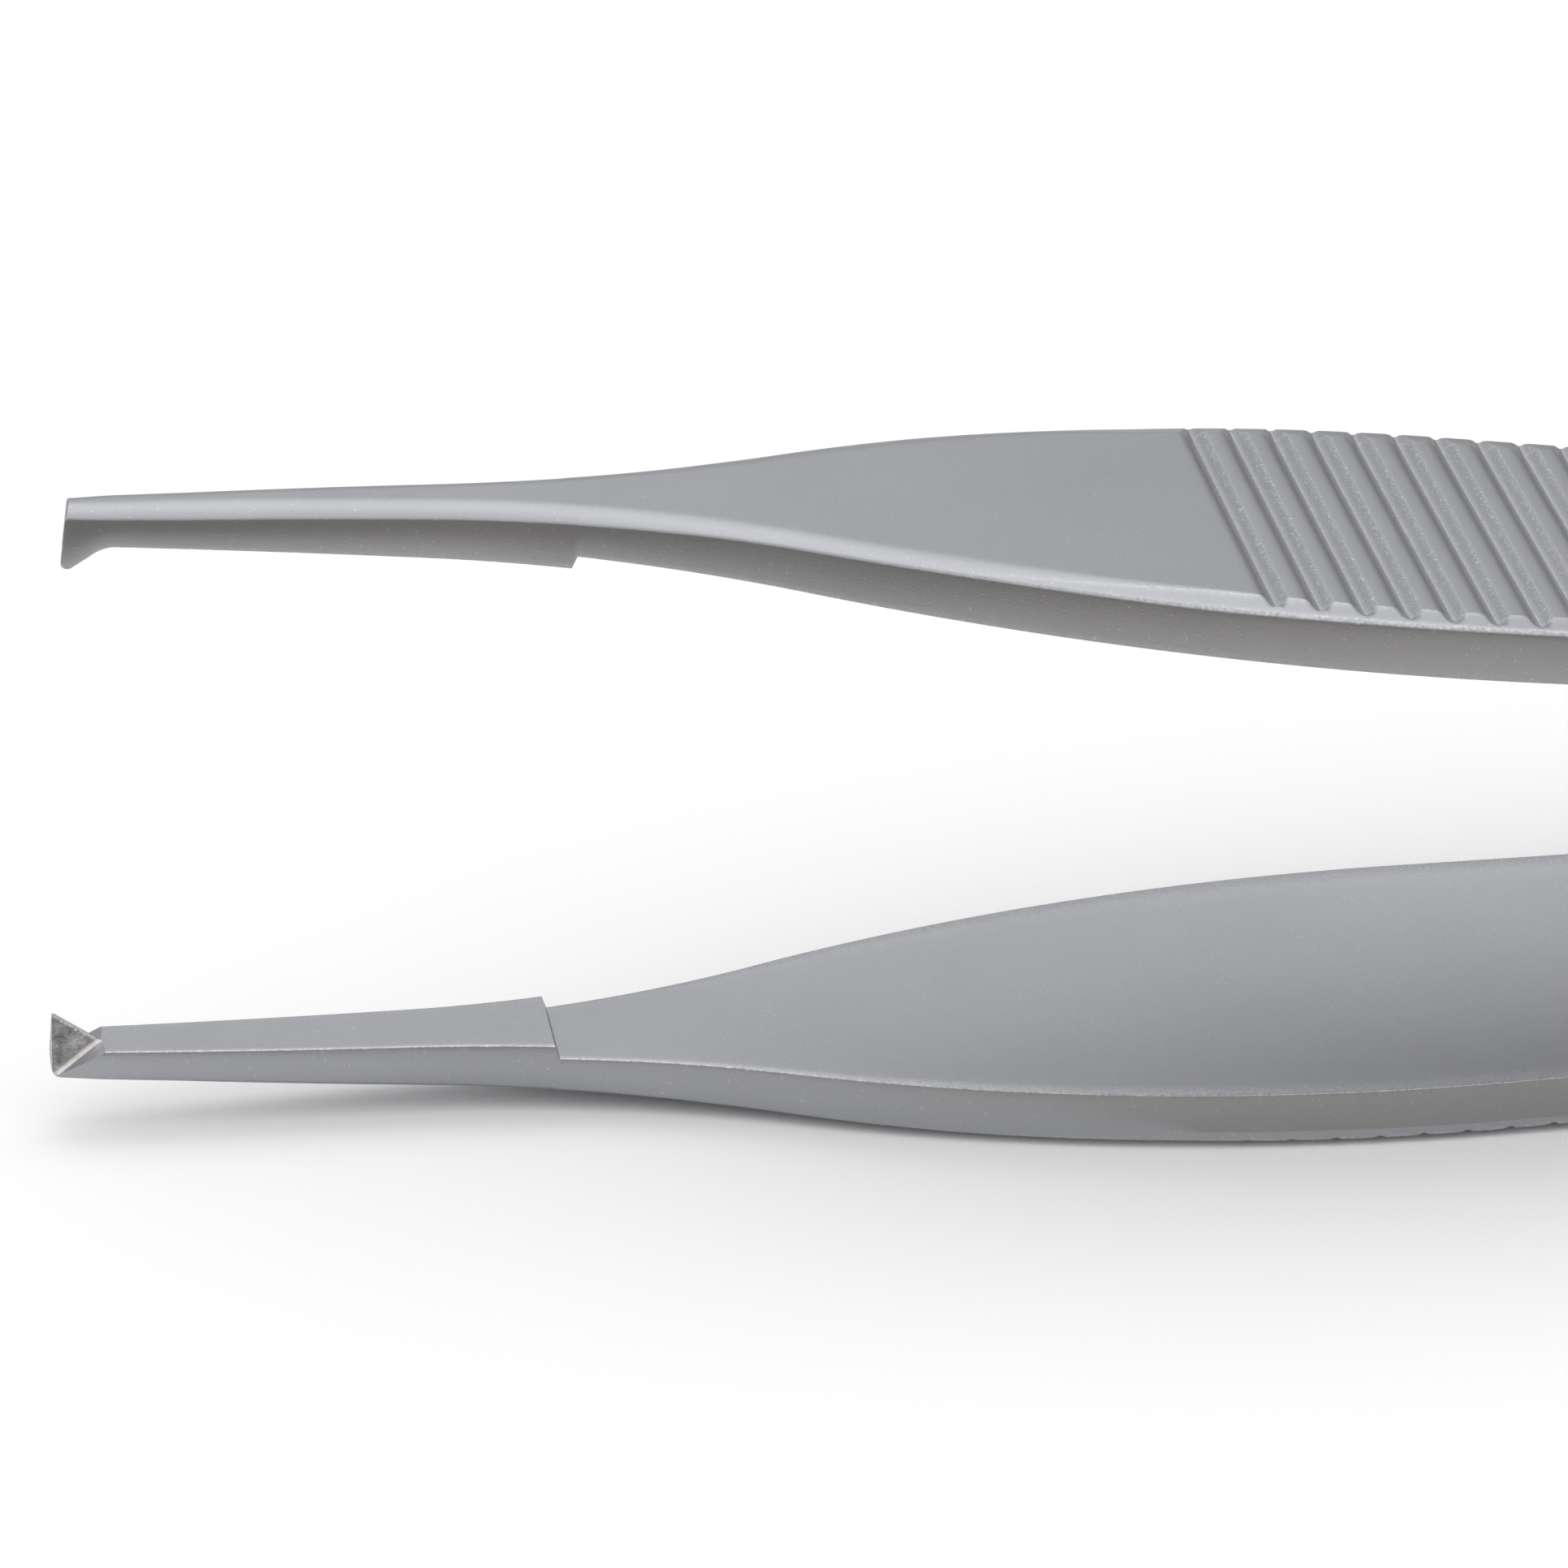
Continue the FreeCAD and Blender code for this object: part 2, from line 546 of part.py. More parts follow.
def addTipRound(body, tooth):
    # Rounds the corner between the end face and the outer face. The centre lies a little
    # less than the radius below the corner, so that the arc meets the rising outer face.
    sink = 0.95
    radius = size(tooth + "TipRadius")
    name = "sizes.%sTipRadius" % tooth
    centreY = size("tipHalfGap") + size("tipThickness") - sink * radius
    outline = Outline(body, "TipRound", "XZ_Plane").start(0, centreY)
    outline.arc(radius * (1 - math.sqrt(0.5)), centreY + radius * math.sqrt(0.5),
                radius, centreY + radius)
    outline.line(radius, centreY + 2 * radius)
    outline.line(-radius, centreY + 2 * radius)
    outline.line(-radius, centreY)
    outline.line(0, centreY)
    outline.close(())
    arc, rise, over, fall, back = [piece[0] for piece in outline.pieces]
    outline.radius(0, name)
    outline.relate("Horizontal", back)
    outline.relate("PointOnObject", back, 2, -2)
    outline.relate("Horizontal", back, 1, arc, 3)
    outline.fix(0, False, None,
                "sizes.tipHalfGap + sizes.tipThickness - %g * %s" % (sink, name))
    outline.relate("Vertical", arc, 3, rise, 1)
    outline.relate("Vertical", rise)
    outline.relate("Horizontal", over)
    outline.relate("Vertical", fall)
    outline.fix(2, True, "-" + name, None)
    outline.bind(Sketcher.Constraint("Distance", rise, radius), name)
    doc.recompute()
    cut = body.newObject("PartDesign::Pocket", "TipCorner")
    cut.Profile = outline.sketch
    cut.Type = "ThroughAll"
    cut.SideType = "Symmetric"
    doc.recompute()


def addArm(name, tooth):
    body = doc.addObject("PartDesign::Body", name)
    body.Label = name
    crown = addBlank(body, tooth)
    roundEdges(body, "Rim", "rimRadius", isSide)
    addTipRound(body, tooth)
    if tooth == "double":
        addNotch(body)
    else:
        addFlankCuts(body)
    addGrooves(body)
    return body, crown


def restTilt(crown):
    # Lying on a table, the forceps stands on the lower arm's crown and on the rounded
    # edge at its tail, so at this angle both are equally far down.
    tailRound = size("rimRadius")
    along = size("overallLength") - tailRound - crown.Center.x
    across = size("springThickness") - tailRound - crown.Center.y
    reach = crown.Radius - tailRound
    return math.asin(reach / math.hypot(along, across)) - math.atan2(across, along)


def layDown(upper, lower, tilt):
    # Turns the arms to the resting angle, with the lower arm's underside on Z = 0 and
    # the origin midway along the whole length.
    turn = FreeCAD.Rotation(FreeCAD.Vector(0, 1, 0), math.degrees(tilt))
    over = FreeCAD.Rotation(FreeCAD.Vector(1, 0, 0), 180)
    upper.Placement = FreeCAD.Placement(FreeCAD.Vector(), turn)
    lower.Placement = FreeCAD.Placement(FreeCAD.Vector(), turn * over)
    boxes = [body.Shape.optimalBoundingBox() for body in (upper, lower)]
    middle = (min(box.XMin for box in boxes) + max(box.XMax for box in boxes)) / 2
    shift = FreeCAD.Vector(-middle, 0, -min(box.ZMin for box in boxes))
    for body in (upper, lower):
        body.Placement = FreeCAD.Placement(shift, body.Placement.Rotation)


upperArm, crown = addArm("double_tooth_arm", "double")
lowerArm, crown = addArm("single_tooth_arm", "single")
layDown(upperArm, lowerArm, restTilt(crown))
doc.recompute()

for item in doc.Objects:
    if "Invalid" in item.State or "Error" in item.State:
        raise RuntimeError(item.Label + " failed")
os.makedirs("parts", exist_ok=True)
for body in (upperArm, lowerArm):
    if body.Shape.isNull() or not body.Shape.isValid():
        raise RuntimeError(body.Label + " has no valid shape")
    body.Shape.exportStep("parts/%s.step" % body.Label)
    print(body.Label, body.Shape.Volume, body.Shape.BoundBox)
print("rest tilt", math.degrees(restTilt(crown)))
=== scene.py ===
import bmesh
import bpy
import math
import numpy as np
from mathutils import Matrix, Vector


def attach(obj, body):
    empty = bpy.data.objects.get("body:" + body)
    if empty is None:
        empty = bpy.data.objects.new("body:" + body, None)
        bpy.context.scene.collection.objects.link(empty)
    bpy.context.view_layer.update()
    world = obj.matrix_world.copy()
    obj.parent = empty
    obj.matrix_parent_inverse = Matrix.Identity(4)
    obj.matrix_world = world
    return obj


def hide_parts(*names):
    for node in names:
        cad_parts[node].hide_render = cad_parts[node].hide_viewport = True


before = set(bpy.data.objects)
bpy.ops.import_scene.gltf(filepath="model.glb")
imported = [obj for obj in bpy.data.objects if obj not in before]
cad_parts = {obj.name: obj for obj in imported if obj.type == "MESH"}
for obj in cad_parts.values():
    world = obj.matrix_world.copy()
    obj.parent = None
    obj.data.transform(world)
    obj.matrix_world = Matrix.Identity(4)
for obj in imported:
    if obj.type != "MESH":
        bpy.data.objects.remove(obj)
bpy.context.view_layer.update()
scene = bpy.context.scene


def toLinear(hexColour):
    # sRGB hex to the linear values that the shaders work in
    values = [int(hexColour[i:i + 2], 16) / 255 for i in (1, 3, 5)]
    linear = [v / 12.92 if v <= 0.04045 else ((v + 0.055) / 1.055) ** 2.4 for v in values]
    return (*linear, 1.0)


def addNode(tree, kind, settings=None, links=None):
    # One node: settings are its own properties or, for a socket, its default value
    node = tree.nodes.new(kind)
    for name, value in (settings or {}).items():
        if isinstance(name, int) or name in node.inputs:
            node.inputs[name].default_value = value
        else:
            setattr(node, name, value)
    for name, source in (links or {}).items():
        tree.links.new(source, node.inputs[name])
    return node


# The camera, worked out from the outline of both arms in a picture of 1932 x 1932 pixels:
# metres, degrees, and millimetres for the lens and the sensor

view = {
    "target": (-0.043047, 0.0, 0.007142),
    "distance": 0.22293,
    "azimuth": -6.8918,
    "elevation": 21.8468,
    "roll": -1.2108,
    "lens": 223.602,
    "sensor": 36.0,
}


def addCamera(view):
    azimuth, elevation = math.radians(view["azimuth"]), math.radians(view["elevation"])
    back = Vector((math.sin(azimuth) * math.cos(elevation),
                   -math.cos(azimuth) * math.cos(elevation), math.sin(elevation)))
    right = Vector((math.cos(azimuth), math.sin(azimuth), 0))
    turn = Matrix.Rotation(math.radians(view["roll"]), 3, back)
    right = turn @ right
    up = back.cross(right)
    data = bpy.data.cameras.new("photoCamera")
    data.lens = view["lens"]
    data.sensor_width = view["sensor"]
    data.clip_start = 0.01
    camera = bpy.data.objects.new("photoCamera", data)
    place = Vector(view["target"]) + back * view["distance"]
    camera.matrix_world = Matrix.Translation(place) @ Matrix(
        (right, up, back)).transposed().to_4x4()
    scene.collection.objects.link(camera)
    scene.camera = camera


addCamera(view)
print("camera placed")

# Both arms are stainless steel, stamped and ground to shape, then blasted with fine glass
# beads. That leaves a dull grey satin of shallow dimples with faint clouds where the blast
# was heavier; lighter flecks are painted glints, and rubbed edges are less rough and painted
# brighter as highlight lines.
# Sizes are in metres.

steel = {
    "colour": "#abacb0",
    "cloudColour": "#a4a5a9",
    # painted highlight lines on rubbed edges
    "wornEdgeHighlightColour": "#e2e3e6",
    # painted glints, and the saw's torn chatter marks
    "glintAndChatterColour": "#e6e6ea",
    "cloud": 4.0e-3,
    "fleck": 0.09e-3,
    "grain": 0.045e-3,          # beads of about 50 micrometres
    "grainDepth": 0.005e-3,
    "chatter": 0.07e-3,         # marks of the saw's teeth
    "chatterDepth": 0.02e-3,
    "roughness": 0.43,
    "polish": 0.15,             # rubbed edges are this much less rough
}

# Tooth faces: stainless steel cut with a fine wheel after blasting, so the metal is barer,
# darker to the eye because it mirrors more sharply, and streaked by the grit.

groundSteel = {
    "colour": "#dcdcdc",
    "streakColour": "#878689",
    "ridgeColour": "#f0f0f2",
    "streak": 0.06e-3,
    "mottle": 0.3e-3,
    "depth": 0.006e-3,
    "roughness": 0.36,
    "ridgeWidth": 0.06e-3,
}

# The round in the root of the flank cuts: the same steel, burnished by the rim of the wheel

burnishedSteel = {
    "colour": "#f2efed",
    "streakColour": "#c8c5c4",
    "ridgeColour": "#f4f4f4",
    "streak": 0.05e-3,
    "mottle": 0.2e-3,
    "depth": 0.003e-3,
    "roughness": 0.42,
    "ridgeWidth": 0.03e-3,
}


def newMaterial(name):
    material = bpy.data.materials.new(name)
    material.use_nodes = True
    material.node_tree.nodes.clear()
    return material, material.node_tree


def makeSteel(name, finish):
    # Satin of blasted dimples; flecks painted as glints, saw chatter and worn edges painted
    # brighter as highlight lines are mixed over it, the last two where the mesh attributes for
    # chatter, burr and rubbed edges say
    material, tree = newMaterial(name)
    place = addNode(tree, "ShaderNodeTexCoord").outputs["Object"]
    cloud = addNode(tree, "ShaderNodeTexNoise",
                    {"Scale": 1 / finish["cloud"], "Detail": 3.0}, {"Vector": place})
    colour = addNode(tree, "ShaderNodeMix", {
        "data_type": "RGBA", 6: toLinear(finish["cloudColour"]), 7: toLinear(finish["colour"])},
        {0: cloud.outputs["Fac"]})
    # Lighter flecks: painted glints of the blasted surface; the chatter marks share their colour
    fleck = addNode(tree, "ShaderNodeTexNoise",
                    {"Scale": 1 / finish["fleck"], "Detail": 2.0}, {"Vector": place})
    glintMask = addNode(tree, "ShaderNodeMapRange",
                        {"From Min": 0.66, "From Max": 0.76, "To Max": 0.35},
                        {"Value": fleck.outputs["Fac"]})
    chatter = addNode(tree, "ShaderNodeAttribute", {"attribute_name": "chatter"})
    marks = addNode(tree, "ShaderNodeTexNoise",
                    {"Scale": 1 / finish["chatter"], "Detail": 3.0}, {"Vector": place})
    marksMask = addNode(tree, "ShaderNodeMapRange",
                        {"From Min": 0.54, "From Max": 0.68}, {"Value": marks.outputs["Fac"]})
    torn = addNode(tree, "ShaderNodeMath", {"operation": "MULTIPLY"},
                   {0: chatter.outputs["Fac"], 1: marksMask.outputs["Result"]})
    bright = addNode(tree, "ShaderNodeMath", {"operation": "MAXIMUM"},
                     {0: glintMask.outputs["Result"], 1: torn.outputs["Value"]})
    glintedAndTorn = addNode(tree, "ShaderNodeMix", {
        "data_type": "RGBA", 7: toLinear(finish["glintAndChatterColour"])},
        {0: bright.outputs["Value"], 6: colour.outputs[2]})
    # Rubbed edges: the lower roughness is real rubbing, the lighter colour a painted highlight
    # along them
    burr = addNode(tree, "ShaderNodeAttribute", {"attribute_name": "burr"})
    rubbedAndPaintedHighlight = addNode(tree, "ShaderNodeAttribute", {"attribute_name": "rubbedAndPaintedHighlight"})
    edge = addNode(tree, "ShaderNodeMath", {"operation": "MAXIMUM"},
                   {0: burr.outputs["Fac"], 1: rubbedAndPaintedHighlight.outputs["Fac"]})
    patches = addNode(tree, "ShaderNodeMapRange",
                      {"From Min": 0.25, "From Max": 0.75}, {"Value": fleck.outputs["Fac"]})
    wearAndHighlightMask = addNode(tree, "ShaderNodeMath", {"operation": "MULTIPLY"},
                       {0: edge.outputs["Value"], 1: patches.outputs["Result"]})
    edgeBrightened = addNode(tree, "ShaderNodeMix", {
        "data_type": "RGBA", 7: toLinear(finish["wornEdgeHighlightColour"])},
        {0: wearAndHighlightMask.outputs["Value"], 6: glintedAndTorn.outputs[2]})
    rough = addNode(tree, "ShaderNodeMapRange", {
        "To Min": finish["roughness"], "To Max": finish["roughness"] - finish["polish"]},
        {"Value": wearAndHighlightMask.outputs["Value"]})
    dimples = addNode(tree, "ShaderNodeTexNoise",
                      {"Scale": 1 / finish["grain"], "Detail": 2.0}, {"Vector": place})
    bump = addNode(tree, "ShaderNodeBump", {"Strength": 1.0, "Distance": finish["grainDepth"]},
                   {"Height": dimples.outputs["Fac"]})
    tear = addNode(tree, "ShaderNodeBump", {"Strength": 1.0, "Distance": finish["chatterDepth"]},
                   {"Height": torn.outputs["Value"], "Normal": bump.outputs["Normal"]})
    shader = addNode(tree, "ShaderNodeBsdfPrincipled", {"Metallic": 1.0},
                     {"Base Color": edgeBrightened.outputs[2], "Roughness": rough.outputs["Result"],
                      "Normal": tear.outputs["Normal"]})
    addNode(tree, "ShaderNodeOutputMaterial", None, {"Surface": shader.outputs["BSDF"]})
    return material


def makeGroundSteel(name, finish):
    # Mottled streaks, and a bright line of ragged width along the ridge at y = 0
    material, tree = newMaterial(name)
    place = addNode(tree, "ShaderNodeTexCoord").outputs["Object"]
    mottle = addNode(tree, "ShaderNodeTexNoise",
                     {"Scale": 1 / finish["mottle"], "Detail": 4.0, "Roughness": 0.6},
                     {"Vector": place})
    contrast = addNode(tree, "ShaderNodeMapRange", {"From Min": 0.3, "From Max": 0.74},
                       {"Value": mottle.outputs["Fac"]})
    colour = addNode(tree, "ShaderNodeMix", {
        "data_type": "RGBA", 6: toLinear(finish["streakColour"]),
        7: toLinear(finish["colour"])}, {0: contrast.outputs["Result"]})
    across = addNode(tree, "ShaderNodeSeparateXYZ", None, {"Vector": place})
    away = addNode(tree, "ShaderNodeMath", {"operation": "ABSOLUTE"}, {0: across.outputs["Y"]})
    grit = addNode(tree, "ShaderNodeTexNoise",
                   {"Scale": 1 / finish["streak"], "Detail": 3.0}, {"Vector": place})
    reach = addNode(tree, "ShaderNodeMapRange",
                    {"To Min": 0.0, "To Max": 2 * finish["ridgeWidth"]},
                    {"Value": grit.outputs["Fac"]})
    ridge = addNode(tree, "ShaderNodeMath", {"operation": "LESS_THAN"},
                    {0: away.outputs["Value"], 1: reach.outputs["Result"]})
    edgeBrightened = addNode(tree, "ShaderNodeMix", {
        "data_type": "RGBA", 7: toLinear(finish["ridgeColour"])},
        {0: ridge.outputs["Value"], 6: colour.outputs[2]})
    bump = addNode(tree, "ShaderNodeBump", {"Strength": 1.0, "Distance": finish["depth"]},
                   {"Height": grit.outputs["Fac"]})
    shader = addNode(tree, "ShaderNodeBsdfPrincipled",
                     {"Metallic": 1.0, "Roughness": finish["roughness"]},
                     {"Base Color": edgeBrightened.outputs[2], "Normal": bump.outputs["Normal"]})
    addNode(tree, "ShaderNodeOutputMaterial", None, {"Surface": shader.outputs["BSDF"]})
    return material


# Both arms. Lengths in millimetres, in the arm's own frame: x from the tip to the tail,
# y across, z outwards from the plane that lies between the arms.

arm = {
    "length": 120.0,
    "tilt": 3.46186,            # the forceps lie tilted on the tail and the jaw, in degrees
    "shift": (-59.6967, 8.15823),
    "slope": 4.0,               # of the grip towards the tail, in degrees
    "gapStation": 38.0,
    "gripHalfGap": 4.465,
    "gripThickness": 1.3,
    "gripSpan": (28.0, 62.75),
    "springStart": 82.0,
    "springThickness": 0.95,
    "springRadius": 210.0,
    "weldStart": 109.19,
    "tipOuter": 6.97,
    "endFace": (1.2, 5.6, 1.37, 1.45),  # its lean fades out over 1.2; foot, height, width
    "platform": (11.44, 6.15, 5.827, 0.048),  # length, height at each end, hollow
    "stepEnd": (11.56, 6.12),
    "tipHalfWidth": 0.725,
    "jawTaper": 2.86,
    "jawLength": 8.3,
    "waistRadius": 22.0,
    "gripRadius": 35.3,
    "tailHalfWidth": 4.4,
    "tailTaper": 1.44,
    "tailCorner": 2.8,
}

# The edge of the outer face, from the tip to the grip: the radius of its crown, the angle at
# which the crown ends, a flat bevel, the radius of the crisp edge, and the angles between
# which the side bulges. Angles are those of the surface's normal above the level.
rim = {
    "station": (0.0, 9.0, 12.0, 15.0, 20.0, 25.4, 29.0, 31.8),
    "crown": (1.25, 1.25, 1.5, 1.9, 2.1, 0.6, 0.25, 0.15),
    "crownEnd": (56.0, 56.0, 60.0, 66.0, 68.0, 76.0, 80.5, 82.0),
    "bevel": (0.0, 0.0, 0.0, 0.0, 0.0, 0.6, 0.62, 0.62),
    "edge": (0.1, 0.1, 0.1, 0.1, 0.12, 0.16, 0.16, 0.16),
    "sideTop": (15.0, 14.0, 11.0, 8.0, 7.0, 6.0, 6.0, 6.0),
    "sideFoot": (8.0, 8.0, 6.0, 5.0, 5.0, 4.0, 4.0, 4.0),
    "foot": 0.035,              # radius of the inner edge
    "hollow": (0.2, 14.0, 34.0, 60.0, 90.0),  # inner face: depth; start, full, fading, end
}

# Points round half a section, from the middle of the outer face to that of the inner face,
# and along the quarter turn of the tail's corner
points = {"flat": 10, "crown": 9, "bevel": 6, "edge": 7, "side": 7, "foot": 4, "tail": 15}

# Rubbed edges, painted brighter as highlight lines: how bright, at which of those points and
# how many points wide. The two on the outer rim fade in from 17 mm over 10 mm, so that they
# show on the grip only.
wearAndHighlight = {
    "inner": (1.0, 40.5, 1.6),
    "crisp": (0.9, 27.0, 2.2),
    "crown": (0.5, 18.0, 1.2),
    "fadeIn": (17.0, 10.0),
}

# Saw cuts across the grip. The profile of one cut: how far each point lies along the pitch,
# how deep, and how much it shows of the saw's chatter and of the burr on the floor.
grooves = {
    "start": 26.75,
    "count": 34,
    "pitch": 1.0,
    "along": (-0.44, -0.37, -0.31, -0.26, -0.2, -0.11, -0.02,
              0.0, 0.03, 0.12, 0.2, 0.26, 0.3, 0.35),
    "depth": (0.0, 0.004, 0.016, 0.036, 0.072, 0.134, 0.196,
              0.2, 0.19, 0.125, 0.066, 0.024, 0.007, 0.0),
    "chatter": (0.0, 0.0, 0.0, 0.0, 0.0, 0.0, 0.0, 0.0, 0.0, 0.2, 0.7, 1.0, 0.9, 0.0),
    "burr": (0.0, 0.0, 0.0, 0.0, 0.0, 0.0, 0.2, 0.55, 0.3, 0.0, 0.0, 0.0, 0.0, 0.0),
    "endInset": 0.62,           # the cuts stop this far from one side and run out of the other
    "endLength": 0.3,
}

doubleTooth = {
    "height": 0.56, "pointRadius": 0.16, "angle": 36.0, "rootBlend": 0.2, "tipRound": 0.06,
    "lean": (0.12, 0.12),       # the end face leans back at the top, and back at one side
    "notch": (6.83, 31.4, 60.0),  # height at the end face, slope, included angle
}

singleTooth = {
    "height": 0.66, "pointRadius": 0.04, "angle": 31.4, "rootBlend": 0.018, "tipRound": 0.22,
    "lean": (0.0, 0.0),
    "flank": (1.1325, 6.15, 1.23, 0.733),  # where the cuts start and how far they run and rise
    "rearSlope": 30.0, "ridge": 0.025, "cutRadius": 0.19,
}


def gripLine(x):
    # Straight line of the inner face of the grip and the spring
    return arm["gripHalfGap"] + math.tan(math.radians(arm["slope"])) * (arm["gapStation"] - x)


def arcInto(start, end, slope):
    # Circle through start that arrives at end with the given slope: centre and radius
    normal = np.array([-slope, 1.0]) / math.hypot(slope, 1.0)
    gap = np.array(end) - np.array(start)
    reach = -(gap @ gap) / (2 * (gap @ normal))
    return np.array(end) + reach * normal, abs(reach)


def innerHeight(x, tooth):
    # z of the inner face: tooth point (arc), tooth flank (line) blended into the hollow
    # platform, step, recess arc, straight grip and spring, bend into the weld face z = 0
    slope = math.tan(math.radians(arm["slope"]))
    length, high, low, hollow = arm["platform"]
    platform = high + (low - high) * x / length + hollow * (1 - (2 * x / length - 1) ** 2)
    radius, angle = tooth["pointRadius"], math.radians(tooth["angle"])
    point = high - tooth["height"] + radius
    touchX, touchZ = radius * (1 + math.sin(angle)), point - radius * math.cos(angle)
    flank = touchZ + math.tan(angle) * (x - touchX)
    overlap = np.maximum(tooth["rootBlend"] - abs(flank - platform), 0)
    jaw = np.minimum(flank, platform) - overlap ** 2 / (4 * tooth["rootBlend"])
    tip = point - np.sqrt(np.maximum(radius ** 2 - (x - radius) ** 2, 0))
    jaw = np.where(x < touchX, tip, jaw)
    stepX, stepZ = arm["stepEnd"]
    step = low + (stepZ - low) * (x - length) / (stepX - length)
    centre, reach = arcInto((stepX, stepZ), (arm["gapStation"], arm["gripHalfGap"]), -slope)
    side = math.copysign(1.0, stepZ - centre[1])
    recess = centre[1] + side * np.sqrt(np.maximum(reach ** 2 - (x - centre[0]) ** 2, 0))
    bend, weld = arm["springRadius"], arm["weldStart"]
    bendStart = weld - bend * math.sin(math.radians(arm["slope"]))
    turn = bend - np.sqrt(np.maximum(bend ** 2 - (x - weld) ** 2, 0))
    return np.select(
        [x <= length, x <= stepX, x <= arm["gapStation"], x <= bendStart, x <= weld],
        [jaw, step, recess, gripLine(x), turn], 0.0)


def outerHeight(x, tooth):
    # z of the outer face: long crown over the jaw, straight grip, thickness easing down by
    # two parabolas to the spring, bend into the tail; the end is rounded over in side view
    slope = math.radians(arm["slope"])
    gripStart, gripEnd = arm["gripSpan"]
    full, thin = arm["gripThickness"] / math.cos(slope), arm["springThickness"] / math.cos(slope)
    centre, radius = arcInto((0.0, arm["tipOuter"]), (gripStart, gripLine(gripStart) + full),
                             -math.tan(slope))
    crown = centre[1] + np.sqrt(np.maximum(radius ** 2 - (x - centre[0]) ** 2, 0))
    t = np.clip((x - gripEnd) / (arm["springStart"] - gripEnd), 0, 1)
    ease = np.where(t < 0.5, 2 * t ** 2, 1 - 2 * (1 - t) ** 2)
    grip = gripLine(x) + full + (thin - full) * ease
    bend, weld = arm["springRadius"], arm["weldStart"]
    small = bend - arm["springThickness"]
    turn = bend - np.sqrt(np.maximum(small ** 2 - (x - weld) ** 2, 0))
    z = np.select([x < gripStart, x < weld - small * math.sin(slope), x < weld],
                  [crown, grip, turn], arm["springThickness"])
    r = tooth["tipRound"]
    return z - np.where(x < r, r - np.sqrt(np.maximum(r ** 2 - (r - x) ** 2, 0)), 0)


def halfWidth(x):
    # Plan outline: tapered jaw, hollow arc of the waist, round arc of the grip, tapered tail
    taper, fall = math.radians(arm["jawTaper"]), math.tan(math.radians(arm["tailTaper"]))
    waist, grip = arm["waistRadius"], arm["gripRadius"]
    startX = arm["jawLength"]
    startY = arm["tipHalfWidth"] + startX * math.tan(taper)
    waistX, waistY = startX - waist * math.sin(taper), startY + waist * math.cos(taper)
    drop = arm["tailHalfWidth"] + fall * arm["length"] - grip * math.hypot(1, fall) - waistY
    square, linear = 1 + fall ** 2, -2 * (waistX + drop * fall)
    rest = waistX ** 2 + drop ** 2 - (waist + grip) ** 2
    gripX = (-linear + math.sqrt(linear ** 2 - 4 * square * rest)) / (2 * square)
    gripY = waistY + drop - fall * gripX
    meetX = waistX + waist / (waist + grip) * (gripX - waistX)
    tail = arm["tailHalfWidth"] + fall * (arm["length"] - x)
    hollow = waistY - np.sqrt(np.maximum(waist ** 2 - (x - waistX) ** 2, 0))
    swell = gripY + np.sqrt(np.maximum(grip ** 2 - (x - gripX) ** 2, 0))
    return np.select([x < startX, x < meetX, x < gripX + grip * math.sin(math.atan(fall))],
                     [arm["tipHalfWidth"] + x * math.tan(taper), hollow, swell], tail)


def armStations(tooth):
    # Places along x: close together round the tooth and the step, on every corner of the
    # grooves, wide apart elsewhere
    quarter = np.linspace(0, math.pi / 2, 9)
    point = tooth["pointRadius"] * (1 - np.cos(np.linspace(0, math.pi * 0.8, 13)))
    cuts = grooves["start"] + grooves["pitch"] * math.cos(math.radians(arm["slope"])) * (
        np.arange(grooves["count"])[:, None] + np.array(grooves["along"]))
    x = np.concatenate([
        [0.0], tooth["tipRound"] * (1 - np.cos(quarter)), point, np.linspace(0.3, 1.8, 31),
        np.linspace(2.0, 11.3, 37), arm["platform"][0] + np.array(
            [-0.05, -0.02, 0.0, 0.03, 0.06, 0.09, 0.12, 0.16, 0.25]),
        np.linspace(11.95, 26.2, 51), cuts.ravel(), np.linspace(61.0, 94.0, 40),
        np.linspace(94.6, 109.19, 20), np.linspace(110.0, 116.8, 7)])
    x = np.unique(np.round(x, 4))
    return x[np.concatenate([[True], np.diff(x) > 0.004])]


